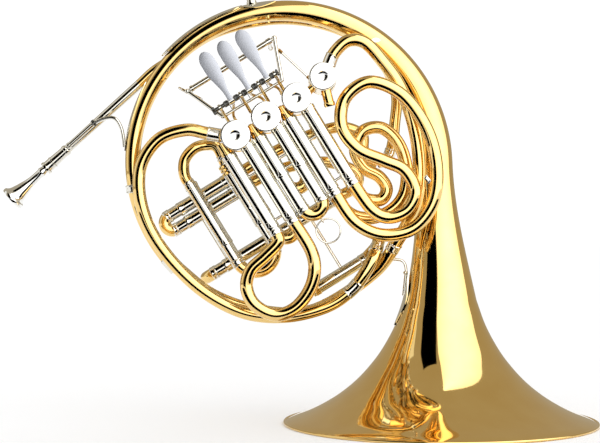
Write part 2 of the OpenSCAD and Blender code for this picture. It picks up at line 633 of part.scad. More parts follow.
module linkage_bracket() color("silver") {
    row_rod([main_legs[0] + 6.5, 50, main_y], [main_legs[1] - 6.5, 50, main_y], 1.4);
    row_rod([-23.8, 66, main_y - 6.5], [-23.8, 66, f_y], 1.2);
    row_rod([20, f_tune_v + 6.5, rear_y], [20, 162, rear_y], 1.6);
    row_rod([-72, b_flat_tune_v[1] + 6.5, rear_y], [-72, f_tune_v - 6.5, rear_y], 1.6);
    row_rod([-60, b_flat_tune_v[0], rear_y - 6.5], [-60, b_flat_tune_v[0], main_y + 6], 1.4);
}

bell_flare();
bell_rim_bead();
bell_tail();
tail_ferrules();
top_guard();
lyre_holder();
bell_brace();
first_branch();
feed_branch();
leadpipe();
leadpipe_crook();
leadpipe_brace();
mouthpiece_receiver();
mouthpiece();
rear_crook();
linkage_bracket();
valve_casing_1();
valve_casing_2();
valve_casing_3();
change_valve_casing();
valve_knuckles();
valve_cap_1();
valve_cap_2();
valve_cap_3();
change_valve_cap();
bearing_plates();
cork_bumpers();
rotor_1();
rotor_2();
rotor_3();
change_rotor();
stop_arm_1();
stop_arm_2();
stop_arm_3();
change_stop_arm();
lever_bridge();
lever_hinge_rod();
lever_springs();
finger_lever_1();
finger_lever_2();
finger_lever_3();
thumb_lever();
thumb_hinge_rod();
change_link();
f_slide_sleeves();
b_flat_slide_sleeves();
tuning_slide_sleeves();
f_slide_1();
f_slide_2();
f_slide_3();
b_flat_slide_1();
b_flat_slide_2();
b_flat_slide_3();
main_tuning_slide();
f_tuning_slide();
b_flat_tuning_slide();
pull_ring();
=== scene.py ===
"""A double french horn standing on its bell: the looks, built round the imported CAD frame.

Pieces are in metres in the frame's axes. Routes are in millimetres, most of them in the valve
row's own (u, v) directions: u runs along the row of valves and v runs down the slides.
"""

import json
import math

import bmesh
import bpy
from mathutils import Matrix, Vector


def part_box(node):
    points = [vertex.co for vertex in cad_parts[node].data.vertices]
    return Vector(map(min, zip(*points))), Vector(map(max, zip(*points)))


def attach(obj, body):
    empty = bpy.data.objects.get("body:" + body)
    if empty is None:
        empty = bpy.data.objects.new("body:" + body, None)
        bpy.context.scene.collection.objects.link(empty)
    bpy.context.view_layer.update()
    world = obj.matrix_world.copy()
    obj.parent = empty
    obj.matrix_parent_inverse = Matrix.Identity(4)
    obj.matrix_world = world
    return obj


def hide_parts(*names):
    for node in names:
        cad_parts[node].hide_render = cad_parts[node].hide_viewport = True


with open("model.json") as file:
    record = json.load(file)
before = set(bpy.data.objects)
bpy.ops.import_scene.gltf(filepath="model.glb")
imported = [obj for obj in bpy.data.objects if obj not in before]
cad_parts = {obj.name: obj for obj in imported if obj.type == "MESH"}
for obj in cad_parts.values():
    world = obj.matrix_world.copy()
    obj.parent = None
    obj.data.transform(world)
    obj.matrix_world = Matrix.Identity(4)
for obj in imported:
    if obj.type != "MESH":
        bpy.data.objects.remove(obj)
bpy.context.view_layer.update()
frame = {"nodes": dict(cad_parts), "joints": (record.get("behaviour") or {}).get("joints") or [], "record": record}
MM = 0.001
BODY = "horn_frame"
JOINTS = {j["name"]: j for j in frame["joints"]}

# ---------------------------------------------------------------- the valve row's frame
Y = Vector((0, 1, 0))
V = Vector(JOINTS["f_slide_1_pull"]["axis"]).normalized()
U = V.cross(Y).normalized()
VALVES = [Vector(JOINTS[n]["pos_m"]) for n in
          ("rotor_1_spin", "rotor_2_spin", "rotor_3_spin", "change_rotor_spin")]
ROW = Vector((VALVES[0].x, 0, VALVES[0].z))


def row(u, v, y=0.0):
    """A point given in millimetres along the row, down the slides and in depth."""
    return ROW + U * u * MM + V * v * MM + Y * y * MM


def mm(x, y, z):
    """A point given in millimetres along the frame's axes."""
    return Vector((x, y, z)) * MM


F_Y = (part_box("f_slide_2")[0][1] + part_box("f_slide_2")[1][1]) / 2 / MM
B_Y = (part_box("b_flat_slide_1")[0][1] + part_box("b_flat_slide_1")[1][1]) / 2 / MM
MAIN_Y = (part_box("main_tuning_slide")[0][1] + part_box("main_tuning_slide")[1][1]) / 2 / MM
SLIDE_R = (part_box("b_flat_slide_1")[1][1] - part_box("b_flat_slide_1")[0][1]) / 2
WALL = 0.5 * MM
BRANCH_Y = -32
REAR_Y = 22
LEAD_Y = 24
RING = mm(-154, 0, 257.5)
RING_R = 149 * MM

# ---------------------------------------------------------------- materials


def nodes_of(name):
    m = bpy.data.materials.new(name)
    m.use_nodes = True
    tree = m.node_tree
    shader = next(n for n in tree.nodes if n.type == "BSDF_PRINCIPLED")
    return m, tree, shader


def add(tree, kind, **values):
    n = tree.nodes.new(kind)
    for k, v in values.items():
        if k in n.inputs:
            n.inputs[k].default_value = v
        else:
            setattr(n, k, v)
    return n


def metal(name, light, dark, rough, coat=0.0, grain=0.0):
    """A polished metal whose colour and gloss drift a little over the surface."""
    m, tree, shader = nodes_of(name)
    coords = add(tree, "ShaderNodeTexCoord")
    cloud = add(tree, "ShaderNodeTexNoise", Scale=38.0, Detail=3.0, Roughness=0.5)
    fine = add(tree, "ShaderNodeTexNoise", Scale=900.0, Detail=2.0, Roughness=0.6)
    ramp = add(tree, "ShaderNodeMix", data_type="RGBA")
    ramp.inputs["A"].default_value = (*dark, 1)
    ramp.inputs["B"].default_value = (*light, 1)
    spread = add(tree, "ShaderNodeMapRange")
    spread.inputs["From Min"].default_value = 0.3
    spread.inputs["From Max"].default_value = 0.7
    gloss = add(tree, "ShaderNodeMapRange")
    gloss.inputs["To Min"].default_value = rough * 0.7
    gloss.inputs["To Max"].default_value = rough * 1.4
    link = tree.links.new
    link(coords.outputs["Object"], cloud.inputs["Vector"])
    link(coords.outputs["Object"], fine.inputs["Vector"])
    link(cloud.outputs["Fac"], spread.inputs["Value"])
    link(spread.outputs["Result"], ramp.inputs["Factor"])
    link(ramp.outputs["Result"], shader.inputs["Base Color"])
    link(cloud.outputs["Fac"], gloss.inputs["Value"])
    link(gloss.outputs["Result"], shader.inputs["Roughness"])
    shader.inputs["Metallic"].default_value = 1.0
    shader.inputs["Coat Weight"].default_value = coat
    shader.inputs["Coat Roughness"].default_value = 0.04
    if grain:
        bump = add(tree, "ShaderNodeBump", Strength=grain, Distance=0.0002)
        link(fine.outputs["Fac"], bump.inputs["Height"])
        link(bump.outputs["Normal"], shader.inputs["Normal"])
    return m


def cork_material():
    m, tree, shader = nodes_of("cork")
    coords = add(tree, "ShaderNodeTexCoord")
    cells = add(tree, "ShaderNodeTexVoronoi", Scale=900.0)
    mix = add(tree, "ShaderNodeMix", data_type="RGBA")
    mix.inputs["A"].default_value = (0.30, 0.16, 0.07, 1)
    mix.inputs["B"].default_value = (0.55, 0.36, 0.18, 1)
    bump = add(tree, "ShaderNodeBump", Strength=0.5, Distance=0.0003)
    link = tree.links.new
    link(coords.outputs["Object"], cells.inputs["Vector"])
    link(cells.outputs["Distance"], mix.inputs["Factor"])
    link(mix.outputs["Result"], shader.inputs["Base Color"])
    link(cells.outputs["Distance"], bump.inputs["Height"])
    link(bump.outputs["Normal"], shader.inputs["Normal"])
    shader.inputs["Roughness"].default_value = 0.85
    return m


GOLD = metal("lacquered_gold_brass", (0.95, 0.68, 0.27), (0.91, 0.63, 0.23), 0.05, coat=0.3)
NICKEL = metal("nickel_silver", (0.88, 0.86, 0.79), (0.82, 0.80, 0.72), 0.05, coat=0.2)
CAP = metal("cap_nickel", (0.93, 0.93, 0.92), (0.90, 0.90, 0.89), 0.14)
SILVER = metal("silver_plate", (0.93, 0.93, 0.90), (0.90, 0.90, 0.87), 0.05)
STEEL = metal("dark_steel", (0.20, 0.20, 0.19), (0.12, 0.12, 0.11), 0.3, grain=0.2)
RAW = metal("bare_brass", (0.66, 0.48, 0.22), (0.55, 0.38, 0.16), 0.25, grain=0.1)
CORK = cork_material()
# The lever pads are nickel silver whose colour is darkened to grey: a painted grey reflection of the dim area
# above the flat pads, not the metal's own colour.
PAD_GREY_REFLECTION = metal("pad_nickel_painted_grey_reflection", (0.58, 0.60, 0.66), (0.54, 0.56, 0.62), 0.5)
SLOTS = {GOLD: "gold_brass", NICKEL: "nickel_silver", PAD_GREY_REFLECTION: "nickel_silver", CAP: "cap_nickel",
         SILVER: "silver_plate", STEEL: "dark_steel", RAW: "rotor_brass", CORK: "cork"}

# ---------------------------------------------------------------- making pieces


def piece(name, verts, faces, material, body=BODY, replaces=(), sharp=None):
    """A mesh piece that rides on a body, in one material, shaded smooth."""
    mesh = bpy.data.meshes.new(name)
    mesh.from_pydata([tuple(v) for v in verts], [], faces)
    mesh.validate()
    o = bpy.data.objects.new(name, mesh)
    bpy.context.scene.collection.objects.link(o)
    mesh.materials.append(material)
    bm = bmesh.new()
    bm.from_mesh(mesh)
    bmesh.ops.recalc_face_normals(bm, faces=bm.faces)
    bm.to_mesh(mesh)
    bm.free()
    mesh.shade_smooth()
    if sharp:
        mesh.set_sharp_from_angle(angle=math.radians(sharp))
    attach(o, body)
    if replaces:
        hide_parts(*replaces)
    return o


def spline(points, n):
    """The smooth curve through the points that part.scad sweeps along, with n steps to a span."""
    p = [2 * points[0] - points[1], *points, 2 * points[-1] - points[-2]]
    out = []
    for a, b, c, d in zip(p, p[1:], p[2:], p[3:]):
        for k in range(n):
            t = k / n
            out.append(0.5 * (2 * b + (c - a) * t + (2 * a - 5 * b + 4 * c - d) * t * t
                              + (3 * b - a - 3 * c + d) * t ** 3))
    return out + [points[-1]]


def frames(path):
    """Heading and two side directions at each point, carried along without twist."""
    heads = [(path[min(i + 1, len(path) - 1)] - path[max(i - 1, 0)]).normalized()
             for i in range(len(path))]
    side = heads[0].cross(Y if abs(heads[0].y) < 0.9 else Vector((1, 0, 0))).normalized()
    out = []
    for h in heads:
        side = (side - h * side.dot(h)).normalized()
        out.append((h, side, h.cross(side)))
    return out


def skin(rings, closed_ends=False, loop=False):
    """Quads between rings of equal size."""
    n = len(rings[0])
    faces = [(i * n + k, i * n + (k + 1) % n, (i + 1) * n + (k + 1) % n, (i + 1) * n + k)
             for i in range(len(rings) - 1) for k in range(n)]
    if loop:
        i = len(rings) - 1
        faces += [(i * n + k, i * n + (k + 1) % n, (k + 1) % n, k) for k in range(n)]
    if closed_ends:
        faces += [tuple(range(n)), tuple(range((len(rings) - 1) * n, len(rings) * n))]
    return [v for r in rings for v in r], faces


def tube(name, path, radius, material, body=BODY, replaces=(), sides=32, wall=WALL, sharp=35):
    """A hollow tube along a path. radius is a number or a function of the share of the way."""
    sized = radius if callable(radius) else (lambda t: radius)
    fr = frames(path)
    last = len(path) - 1

    def ring(i, r):
        _, s, q = fr[i]
        return [path[i] + r * (math.cos(a) * s + math.sin(a) * q)
                for a in (2 * math.pi * k / sides for k in range(sides))]

    outer = [ring(i, sized(i / last)) for i in range(last + 1)]
    if wall:
        inner = [ring(i, sized(i / last) - wall) for i in range(last, -1, -1)]
        verts, faces = skin(outer + inner, loop=True)
    else:
        verts, faces = skin(outer, closed_ends=True)
    return piece(name, verts, faces, material, body, replaces, sharp)


def lathe(name, origin, axis, profile, material, body=BODY, replaces=(), sides=64, sharp=30):
    """A solid of revolution. profile is a list of (distance along axis, radius) in millimetres."""
    axis = axis.normalized()
    s = axis.orthogonal().normalized()
    q = axis.cross(s)
    rings = []
    for h, r in profile:
        rings.append([origin + axis * h * MM + max(r, 0.001) * MM * (math.cos(a) * s + math.sin(a) * q)
                      for a in (2 * math.pi * k / sides for k in range(sides))])
    verts, faces = skin(rings, closed_ends=True)
    return piece(name, verts, faces, material, body, replaces, sharp)


def ferrule(name, path, at, length, r, material, body=BODY, wall=0.45):
    """A collar round a tube, centred at a share of the path's length, with a bead at each end."""
    lengths = [0.0]
    for a, b in zip(path, path[1:]):
        lengths.append(lengths[-1] + (b - a).length)
    total = lengths[-1]

    def at_length(d):
        d = min(max(d, 0), total)
        for i in range(len(path) - 1):
            if lengths[i + 1] >= d:
                t = (d - lengths[i]) / max(1e-9, lengths[i + 1] - lengths[i])
                return path[i].lerp(path[i + 1], t)
        return path[-1]

    start = total * at - length * MM / 2
    steps = 16
    spine = [at_length(start + length * MM * k / steps) for k in range(steps + 1)]

    def sized(t):
        edge = min(t, 1 - t) * length
        bead = 0.25 * math.exp(-((edge - 0.9) / 0.5) ** 2)
        return (r + wall * min(1, edge / 0.25) + bead) * MM

    return tube(name, spine, sized, material, body, wall=0, sides=40)


def u_path(u0, u1, v0, v1, y, n=24):
    """Down one leg, round the bow and back up the other."""
    mid, r = (u0 + u1) / 2, (u1 - u0) / 2
    arc = [row(mid - r * math.cos(math.pi * k / n), v1 + r * math.sin(math.pi * k / n), y)
           for k in range(n + 1)]
    return [row(u0, v0, y), row(u0, (v0 + v1) / 2, y)] + arc + [row(u1, (v0 + v1) / 2, y), row(u1, v0, y)]


# ---------------------------------------------------------------- collars and solid details


def share(path, point):
    """How far along the path, as a share of its length, the point nearest to this one lies."""
    run, best, at = 0.0, 9.0, 0.0
    for a, b in zip(path, path[1:]):
        if (a - point).length < best:
            best, at = (a - point).length, run
        run += (b - a).length
    return at / run


def join(name, parts, material, body=BODY, replaces=(), sharp=35):
    """Several (verts, faces) shells as one piece."""
    verts, faces = [], []
    for v, f in parts:
        faces += [tuple(i + len(verts) for i in face) for face in f]
        verts += v
    return piece(name, verts, faces, material, body, replaces, sharp)


def turned(origin, axis, profile, sides=48, knurl=0.0):
    """Verts and faces of a solid of revolution; profile in millimetres."""
    axis = axis.normalized()
    s = axis.orthogonal().normalized()
    q = axis.cross(s)
    rings = []
    for h, r in profile:
        ring = []
        for k in range(sides):
            a = 2 * math.pi * k / sides
            rr = max(r - (knurl if k % 2 else 0), 0.001) * MM
            ring.append(origin + axis * h * MM + rr * (math.cos(a) * s + math.sin(a) * q))
        rings.append(ring)
    return skin(rings, closed_ends=True)


def sleeve_shell(origin, axis, length, r_out, r_in, bead=0.4, collar=0.0, sides=40):
    """An outer slide tube: hollow, with a rolled bead at its mouth and a step where a collar sits."""
    prof = [(0, r_out)]
    if collar:
        prof += [(0.0, r_out + 0.4), (collar, r_out + 0.4), (collar + 0.4, r_out)]
    e = length
    prof += [(e - 7.2, r_out), (e - 7.0, r_out + 0.2), (e - 2.9, r_out + 0.2), (e - 2.6, r_out + bead * 0.7),
             (e - 1.7, r_out + bead), (e - 0.8, r_out + bead * 0.7), (e, r_out + 0.1), (e, r_in), (0, r_in)]
    axis = axis.normalized()
    s = axis.orthogonal().normalized()
    q = axis.cross(s)
    rings = [[origin + axis * h * MM + r * MM * (math.cos(a) * s + math.sin(a) * q)
              for a in (2 * math.pi * k / sides for k in range(sides))] for h, r in prof]
    return skin(rings, loop=True)


def ball(origin, r, axis=Y, sides=24):
    """A small turned ball."""
    prof = [(-r * math.cos(math.pi * k / 12), r * math.sin(math.pi * k / 12)) for k in range(13)]
    return turned(origin, axis, prof, sides)


def pipe(path, radius, sides=16):
    """Verts and faces of a solid round rod along a path, its ends closed; radius in millimetres."""
    fr = frames(path)
    sized = radius if callable(radius) else (lambda t: radius)
    rings = []
    for i, p in enumerate(path):
        r = sized(i / (len(path) - 1)) * MM
        rings.append([p + r * (math.cos(a) * fr[i][1] + math.sin(a) * fr[i][2])
                      for a in (2 * math.pi * k / sides for k in range(sides))])
    return skin(rings, closed_ends=True)


def slab(outline, normal, thick, bevel=0.3, dome=0.0):
    """A plate from a closed outline, its edges softened and its front face slightly domed."""
    normal = normal.normalized()
    mid = sum(outline, Vector()) / len(outline)

    def ring(inset, lift):
        pts = []
        for p in outline:
            d = p - mid
            pts.append(p - d.normalized() * min(inset * MM, d.length * 0.9) + normal * lift * MM)
        return pts

    rings = [ring(bevel, 0), ring(0, bevel), ring(0, thick - bevel), ring(bevel, thick)]
    if dome:
        for k in (0.75, 0.5, 0.25, 0.02):
            lift = thick + dome * (1 - k * k)
            rings.append([mid + (p - mid) * k + normal * lift * MM for p in outline])
    return skin(rings, closed_ends=True)


def ring_collar(name, path, point, length, r, material=None, body=BODY):
    """A plain ferrule round a tube, at the spot of its path nearest to a point."""
    return ferrule(name, path, share(path, point), length, r, material or NICKEL, body)


# ---------------------------------------------------------------- bell
STEM_R, RIGHT_R, END_R = 35.5, 17.0, 6.9
TAIL_STOP = 222
FLARE = [(0, 153.5), (3, 147), (9, 131.5), (17, 115.5), (27, 99.5), (40, 83.5), (55, 69.5),
         (72, 57), (95, 44.6), (120, 35.5)]
stem_z0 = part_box("bell_flare")[1][2]


def tail_point(t):
    if t < 0:
        k = t + 1
        s = k * k * (3 - 2 * k)
        return Vector(((RING.x + RING_R) * s, 0, stem_z0 + (RING.z - stem_z0) * k))
    return ring_at(TAIL_STOP * t)


def ring_at(deg, out=0.0, y=0.0):
    """A point on the ring's centre line at an angle, moved outwards and in depth by millimetres."""
    a = math.radians(deg)
    return RING + (RING_R + out * MM) * Vector((math.cos(a), 0, math.sin(a))) + Y * y * MM


def tail_r(t):
    if t < 0:
        k = t + 1
        return STEM_R + (RIGHT_R - STEM_R) * (1.75 * k - 0.75 * k * k)
    return END_R + (RIGHT_R - END_R) * (1 - t) ** 2.6 + 2.1 * t * (1 - t)


def build_bell():
    spine, radii = [], []
    base = stem_z0 - 120 * MM
    for p in spline([Vector((r, 0, z)) for z, r in FLARE], 8)[:-1]:
        spine.append(Vector((0, 0, base + p.z * MM)))
        radii.append(p.x * MM)
    for k in range(30):
        spine.append(tail_point(-1 + k / 30))
        radii.append(tail_r(-1 + k / 30) * MM)
    for k in range(161):
        spine.append(tail_point(k / 160))
        radii.append(tail_r(k / 160) * MM)
    for _ in range(6):
        radii = [radii[0]] + [(a + 2 * b + c) / 4 if i > 66 else b
                              for i, (a, b, c) in enumerate(zip(radii, radii[1:], radii[2:]))] + [radii[-1]]
    fr = frames(spine)
    sides = 128
    outer, inner = [], []
    for i, (p, r) in enumerate(zip(spine, radii)):
        h, s, q = fr[i]
        j, k = max(i - 1, 0), min(i + 1, len(radii) - 1)
        slope = math.atan2(radii[j] - radii[k], (spine[k] - spine[j]).length)
        for ring, off in ((outer, 0), (inner, WALL)):
            c = p - h * off * math.sin(slope)
            rr = r - off * math.cos(slope)
            ring.append([c + rr * (math.cos(a) * s + math.sin(a) * q)
                         for a in (2 * math.pi * n / sides for n in range(sides))])
    verts, faces = skin(outer + inner[::-1], loop=True)
    piece("bell_skin", verts, faces, GOLD, replaces=("bell_flare", "bell_tail"), sharp=40)

    low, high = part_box("bell_rim_bead")
    r = (high[0] - low[0]) / 2 / MM
    b = (high[2] - low[2]) / 2 / MM
    prof = [(b - b * math.cos(2 * math.pi * k / 16), r - b + b * math.sin(2 * math.pi * k / 16))
            for k in range(17)]
    rings = [[Vector((rr * MM * math.cos(a), rr * MM * math.sin(a), low[2] + h * MM))
              for a in (2 * math.pi * k / 192 for k in range(192))] for h, rr in prof[:-1]]
    verts, faces = skin(rings, loop=True)
    piece("bell_rim", verts, faces, GOLD, replaces=("bell_rim_bead",))


def build_ring_fittings():
    """Ferrules, guard, lyre socket and bell brace on the big ring."""
    def band(name, deg, span, r):
        arc = [ring_at(deg + span * k / 12) for k in range(13)]
        return ferrule(name, arc, 0.5, math.radians(span) * 149, r, NICKEL)

    band("tail_ferrule_low", TAIL_STOP - 3, 6, 7.3)
    a = band("ring_band_189", 188.6, 3, 8.45)
    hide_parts("tail_ferrules")

    arcs = []
    steps = 40
    for k in range(steps + 1):
        deg = 105 + 34 * k / steps
        edge = min(k, steps - k) / steps
        wide = 0.75 * min(1.0, (edge * 9) ** 0.5) + 0.02
        rr = 10.1
        ring = []
        for r_at, order in ((rr + 0.9, 1), (rr - 0.4, -1)):
            for n in range(9)[::order]:
                a = wide * (n / 4 - 1)
                ring.append(ring_at(deg, r_at * math.cos(a), r_at * math.sin(a)))
        arcs.append(ring)
    verts, faces = skin(arcs, closed_ends=True)
    piece("tail_guard", verts, faces, NICKEL, replaces=("top_guard",), sharp=40)

    out = (ring_at(101.5) - RING).normalized()
    at = ring_at(101.5, 10)
    prof = [(0, 4.2), (0.5, 4.9), (2.2, 4.9), (2.6, 4.2), (7.6, 4.2), (8, 4.9), (10.4, 4.9), (11, 4.4),
            (11, 2.6), (2, 2.6), (2, 0.01)]
    socket = turned(at, out, prof, 40)
    rings = []
    for k in range(25):
        t = k / 24
        wide = 0.05 + 0.62 * math.sin(math.pi * t) ** 0.7
        ring = []
        for r_at, order in ((10.35, 1), (9.3, -1)):
            for n in range(9)[::order]:
                a = -0.42 + wide * (n / 4 - 1)
                ring.append(ring_at(101.5 - 8.5 + 12.5 * t, r_at * math.cos(a), r_at * math.sin(a)))
        rings.append(ring)
    leaf = skin(rings, closed_ends=True)
    screw = turned(at + out * 5 * MM + Y * -4 * MM, -Y,
                   [(0, 1.4), (0.9, 1.4), (1.1, 2.2), (2.6, 2.2), (3, 1.8)], 24, 0.15)
    join("lyre_socket", [socket, leaf], NICKEL, replaces=("lyre_holder",))
    join("lyre_screw", [screw], NICKEL)

    spot = ring_at(52.8, 0, -12.0)
    patch = []
    for k in range(24):
        a = 2 * math.pi * k / 24
        c, d = math.cos(a), math.sin(a)
        patch.append(spot + mm(4.6 * math.copysign(abs(c) ** 1.2, c), 0,
                               2.6 * math.copysign(abs(d) ** 1.2, d)))
    join("tail_patch", [slab(patch, -Y, 0.7, 0.3)], NICKEL)

    route = spline([mm(*p) for p in ((-52, -2, 161), (-44, -2, 161.5), (-37, -2, 159.5), (-34, -2, 152),
                                     (-35, -2, 139), (-36.4, -2, 126))], 8)
    rod_shell = pipe(route, 1.4)
    rings = []
    curve = [(97, 45.0), (104, 42.4), (112, 39.4), (121.7, 36.4), (131, 34.6), (141, 32.9), (149.5, 31.5)]
    pts = spline([Vector((r, 0, z)) for z, r in curve], 4)
    for i, p in enumerate(pts):
        t = i / (len(pts) - 1)
        half = (4.5 + 8.5 * math.sin(math.pi * t) ** 1.5) / (p.x)
        ring = []
        for off, order in ((0.8, 1), (-0.3, -1)):
            for n in range(9)[::order]:
                a = math.pi + half * (n / 4 - 1)
                ring.append(mm((p.x + off) * math.cos(a), (p.x + off) * math.sin(a), p.z))
        rings.append(ring)
    foot = skin(rings, closed_ends=True)
    join("bell_stay", [rod_shell, foot, ball(mm(-34.6, -2, 148), 2.2)], NICKEL, replaces=("bell_brace",))


# ---------------------------------------------------------------- tubes
def through(points, n=8):
    """A tube's smooth route through its points."""
    return spline(points, n)


FEED = through([mm(-210.9, B_Y, 281.7), mm(-229, B_Y, 284.8), mm(-250, B_Y, 288), mm(-277, B_Y, 278),
                mm(-294, B_Y, 250), mm(-292, B_Y, 212), mm(-274, B_Y, 174), mm(-238, B_Y, 135),
                mm(-196, B_Y, 111), mm(-154, B_Y, 106), mm(-114, B_Y, 115), mm(-89, B_Y, 131),
                mm(-74, B_Y, 150), mm(-65, B_Y + 4, 168), mm(-60, B_Y + 18, 182), mm(-58, 15, 184),
                row(62, 163, REAR_Y), row(46, 168, REAR_Y)])
FIRST = through([mm(-111.6, BRANCH_Y, 346.9), mm(-105, BRANCH_Y, 361.5), mm(-92, BRANCH_Y, 373),
                 mm(-76, BRANCH_Y, 371.5), mm(-60, BRANCH_Y, 355), mm(-42, BRANCH_Y, 329),
                 mm(-28, BRANCH_Y, 290), mm(-23, BRANCH_Y, 248), mm(-28, -32, 212), mm(-42, -16, 182),
                 mm(-66, -1, 148), ring_at(282), ring_at(262), ring_at(242), ring_at(TAIL_STOP)])
MOUTH = mm(-427, LEAD_Y, 220.5)
LEAD_END = mm(-299, LEAD_Y, 336)
LEAD = (LEAD_END - MOUTH).normalized()
CROOK = through([LEAD_END, LEAD_END + LEAD * 22 * MM, mm(-258, LEAD_Y, 366), mm(-226, LEAD_Y, 386),
                 mm(-190, LEAD_Y, 397), mm(-152, LEAD_Y, 401), mm(-112, LEAD_Y, 395),
                 mm(-78, LEAD_Y, 380), mm(-54, LEAD_Y, 356), mm(-42, LEAD_Y, 326), mm(-43.5, LEAD_Y, 296),
                 mm(-46, LEAD_Y, 275), mm(-51, LEAD_Y - 1, 262), mm(-61, REAR_Y, 257)])


def along(t, y=LEAD_Y):
    return mm(-427, y, 220.5) + LEAD * t * MM


def build_branches():
    r = SLIDE_R
    tube("feed_branch_tube", FEED, r, GOLD, replaces=("feed_branch",))
    tube("first_branch_tube", FIRST, lambda t: (6.2 + 0.5 * t) * MM, GOLD, replaces=("first_branch",))
    tube("leadpipe_crook_tube", CROOK, lambda t: (4.9 + 0.9 * t) * MM, GOLD, replaces=("leadpipe_crook",))
    ring_collar("feed_collar_valve", FEED, mm(-222, B_Y, 283.5), 13, 6.3)
    ring_collar("feed_collar_low", FEED, mm(-86, B_Y, 134), 16, 6.3)
    ring_collar("feed_collar_bell", FEED, mm(-63, B_Y + 8, 172), 9, 6.3)
    ring_collar("first_collar_valve", FIRST, mm(-109, BRANCH_Y, 355), 11, 6.2)
    ring_collar("first_collar_bell", FIRST, mm(-46, -12, 176), 9, 6.55)
    ring_collar("crook_collar_lead", CROOK, LEAD_END + LEAD * 6 * MM, 13, 4.95)
    ring_collar("crook_collar_low", CROOK, mm(-48, LEAD_Y, 268), 8, 5.8)
    # stay between the feed branch and the ring
    join("ring_stay_low", [pipe([mm(-216, B_Y + 5.5, 121), mm(-218, -6.5, 119)], 1.5)], NICKEL)


def build_mouthpiece():
    prof = [(0.7, 8.6), (0.15, 9.3), (0, 10.4), (0.15, 11.4), (0.7, 12.2), (1.6, 12.5), (3.2, 12.5),
            (4.2, 12.0), (5.0, 11.0), (6.4, 9.8), (9, 8.7), (14, 7.3), (19, 6.2), (24, 5.1), (28, 4.5),
            (34, 4.25), (39.6, 4.3), (40.4, 4.75), (41, 4.9), (42, 4.9), (42.8, 4.6), (44, 4.4),
            (46, 3.85), (66, 3.4), (66, 2.7), (30, 2.2), (27, 2.4), (19, 4.5), (12, 6.4), (6, 7.6), (2, 8.35)]
    rings = []
    s = Y
    q = LEAD.cross(s)
    for h, r in prof:
        rings.append([MOUTH + LEAD * h * MM + r * MM * (math.cos(a) * s + math.sin(a) * q)
                      for a in (2 * math.pi * k / 64 for k in range(64))])
    verts, faces = skin(rings, loop=True)
    piece("mouthpiece_turned", verts, faces, SILVER, body="mouthpiece", replaces=("mouthpiece",), sharp=30)

    def shell(start, prof):
        rings = [[along(start + h) + r * MM * (math.cos(a) * s + math.sin(a) * q)
                  for a in (2 * math.pi * k / 40 for k in range(40))] for h, r in prof]
        return skin(rings, loop=True)

    receiver_at, tube_at = 46, 74
    receiver = [(0, 6.1), (0.3, 6.7), (1.4, 6.8), (2.6, 6.7), (3, 6.0), (4, 5.8), (9, 5.7), (9.4, 6.1),
                (10.6, 6.1), (11, 5.6), (24, 5.1), (25.8, 5.1), (26.2, 5.6), (28.8, 5.6), (29.4, 5.1),
                (30, 4.9), (30, 3.1), (20.6, 3.1), (20.6, 3.46), (0, 3.88)]
    join("leadpipe_receiver", [shell(receiver_at, receiver)], NICKEL, replaces=("mouthpiece_receiver",))
    full = (LEAD_END - MOUTH).length / MM - tube_at
    join("leadpipe_tube", [shell(tube_at, [(0, 4.2), (full, 4.9), (full, 4.4), (0, 3.7)])], NICKEL,
         replaces=("leadpipe",))


def build_lead_brace():
    y = LEAD_Y - 12
    axis = LEAD
    prof = [(0, 2.4), (0.6, 3.2), (3, 3.2), (3.4, 2.7), (34.6, 2.7), (35, 3.2), (37.4, 3.2), (38, 2.4)]
    sleeve = turned(along(78, y), axis, prof, 32)
    posts = [pipe([along(d, y), along(d, LEAD_Y - 4.4)], r) for d, r in ((84, 1.8), (112.5, 1.6))]
    hook = [along(106, y), along(112, y - 1), mm(-333, 9, 300.5), mm(-322, 6, 301), mm(-315.6, 4.5, 293),
            mm(-312.6, 3.5, 282), mm(-311.4, 2, 272)]
    strut = pipe(spline(hook, 8), lambda t: 2.1 - 0.5 * t)
    arcs = []
    for k in range(29):
        t = k / 28
        deg = 150 + 26 * t
        wide = 0.22 + 0.62 * math.sin(math.pi * t) ** 0.8
        ring = []
        for r_at, order in ((8.55, 1), (7.7, -1)):
            for n in range(9)[::order]:
                a = wide * (n / 4 - 1)
                ring.append(ring_at(deg, r_at * math.cos(a), r_at * math.sin(a)))
        arcs.append(ring)
    join("leadpipe_stay", [sleeve, *posts, strut, skin(arcs, closed_ends=True)], NICKEL,
         replaces=("leadpipe_brace",))
    ring_prof = [(0, 3.3), (0.3, 3.7), (2.7, 3.7), (3, 3.3)]
    join("leadpipe_stay_ring", [turned(along(112, y), axis, ring_prof, 32, 0.12)], STEEL)


# ---------------------------------------------------------------- valves
LEGS = (-16, 4)
VALVE_U = (0, 34, 68, 100)
VALVE_V = (0, 0, 0, -4.3)


def valve_at(i, y):
    return row(VALVE_U[i], VALVE_V[i], y)


